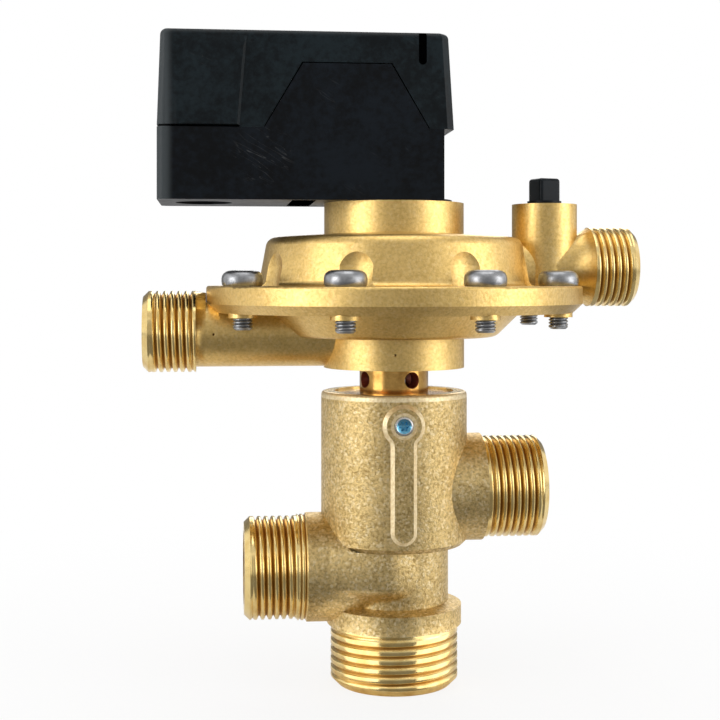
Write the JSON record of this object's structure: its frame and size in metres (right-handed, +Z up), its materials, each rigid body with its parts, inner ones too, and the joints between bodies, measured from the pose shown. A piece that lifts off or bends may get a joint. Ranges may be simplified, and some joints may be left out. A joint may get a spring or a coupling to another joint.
{
  "type": "boiler diverter valve",
  "caption": "Brass hydraulic diverter valve for a wall boiler: three-way body, diaphragm housing with flow regulator and a black microswitch box on top.",
  "frame": {"origin": "centre of the bottom port's end face", "axes": "+Z up the spindle axis to the switch box, +X to the right-hand ports, -Y the front with the lock screw"},
  "size_m": [0.1288, 0.098, 0.1673],
  "materials": {
    "cast_brass_dark": "rough cast",
    "cast_brass": "satin cast",
    "turned_brass": "machined",
    "zinc_steel": "zinc plated",
    "blue_zinc_steel": "blue zinc plated",
    "stainless_steel": "drawn",
    "black_rubber": "smooth",
    "box_plastic": "fine satin moulding",
    "regulator_plastic": "satin moulding",
    "switch_case": "moulded",
    "white_plastic": "moulded",
    "terminal_brass": "stamped"
  },
  "bodies": {
    "valve": {"box_fixing_screw_front": "zinc_steel", "box_fixing_screw_rear": "zinc_steel", "diaphragm": "black_rubber", "flange_screw_1": "zinc_steel", "flange_screw_2": "zinc_steel", "flange_screw_3": "zinc_steel", "flange_screw_4": "zinc_steel", "flange_screw_5": "zinc_steel", "flange_screw_6": "zinc_steel", "flange_screw_7": "zinc_steel", "flange_screw_8": "zinc_steel", "lock_screw": "blue_zinc_steel", "lower_housing": "cast_brass", "lower_spindle_seal": "black_rubber", "microswitch_front": "switch_case", "microswitch_rear": "switch_case", "neck_o_ring": "black_rubber", "return_spring": "stainless_steel", "seat_o_ring": "black_rubber", "switch_blade_front_1": "terminal_brass", "switch_blade_front_2": "terminal_brass", "switch_blade_front_3": "terminal_brass", "switch_blade_rear_1": "terminal_brass", "switch_blade_rear_2": "terminal_brass", "switch_blade_rear_3": "terminal_brass", "switch_box_base": "box_plastic", "switch_box_cover": "box_plastic", "switch_nut_1": "zinc_steel", "switch_nut_2": "zinc_steel", "switch_screw_1": "zinc_steel", "switch_screw_2": "zinc_steel", "top_guide_bush": "turned_brass", "top_spindle_seal": "black_rubber", "upper_housing": "cast_brass", "upper_seat": "turned_brass", "upper_spindle_seal": "black_rubber", "valve_body": "cast_brass_dark", "vent_neck": "turned_brass"},
    "spindle_set": {"spindle": "stainless_steel", "diaphragm_plate": "stainless_steel", "diaphragm_washer": "stainless_steel", "spindle_nut": "zinc_steel", "shutter_hub": "turned_brass", "lower_shutter_seal": "black_rubber", "upper_shutter_seal": "black_rubber", "lower_shutter_clip": "zinc_steel", "upper_shutter_clip": "zinc_steel", "switch_pusher": "white_plastic"},
    "lever_front": {"switch_lever_front": "stainless_steel"},
    "lever_rear": {"switch_lever_rear": "stainless_steel"},
    "button_front": {"switch_button_front": "white_plastic"},
    "button_rear": {"switch_button_rear": "white_plastic"},
    "regulator": {"flow_regulator": "regulator_plastic", "regulator_o_ring": "black_rubber"}
  },
  "joints": [
    {"name": "spindle_slide", "type": "slide", "parent": "valve", "child": "spindle_set", "axis": [0, 0, 1], "range_m": [0, 0.005], "stiffness_N_per_m": 600, "springref_m": -0.006, "deforming": ["return_spring", "diaphragm"]},
    {"name": "lever_front_hinge", "type": "hinge", "parent": "valve", "child": "lever_front", "pos_m": [-0.024, -0.00705, 0.1355], "axis": [0, -1, 0], "range_deg": [0, 12.5], "stiffness_Nm_per_rad": 0.0002, "springref_deg": 35.52},
    {"name": "lever_rear_hinge", "type": "hinge", "parent": "valve", "child": "lever_rear", "pos_m": [-0.024, 0.00705, 0.1355], "axis": [0, -1, 0], "range_deg": [0, 12.5], "stiffness_Nm_per_rad": 0.0002, "springref_deg": 35.52},
    {"name": "button_front_slide", "type": "slide", "parent": "valve", "child": "button_front", "axis": [0, 0, 1], "range_m": [0, 0.0017]},
    {"name": "button_rear_slide", "type": "slide", "parent": "valve", "child": "button_rear", "axis": [0, 0, 1], "range_m": [0, 0.0017]},
    {"name": "regulator_turn", "type": "hinge", "parent": "valve", "child": "regulator", "pos_m": [0.0403, 0, 0.1085], "axis": [0, 0, 1], "range_deg": [0, 90]}
  ],
  "couplings": [
    {"joint": "lever_front_hinge", "follows": "spindle_slide", "rad_per_m": 41.667},
    {"joint": "lever_rear_hinge", "follows": "spindle_slide", "rad_per_m": 41.667},
    {"joint": "button_front_slide", "follows": "spindle_slide", "ratio": 0.3333},
    {"joint": "button_rear_slide", "follows": "spindle_slide", "ratio": 0.3333}
  ]
}
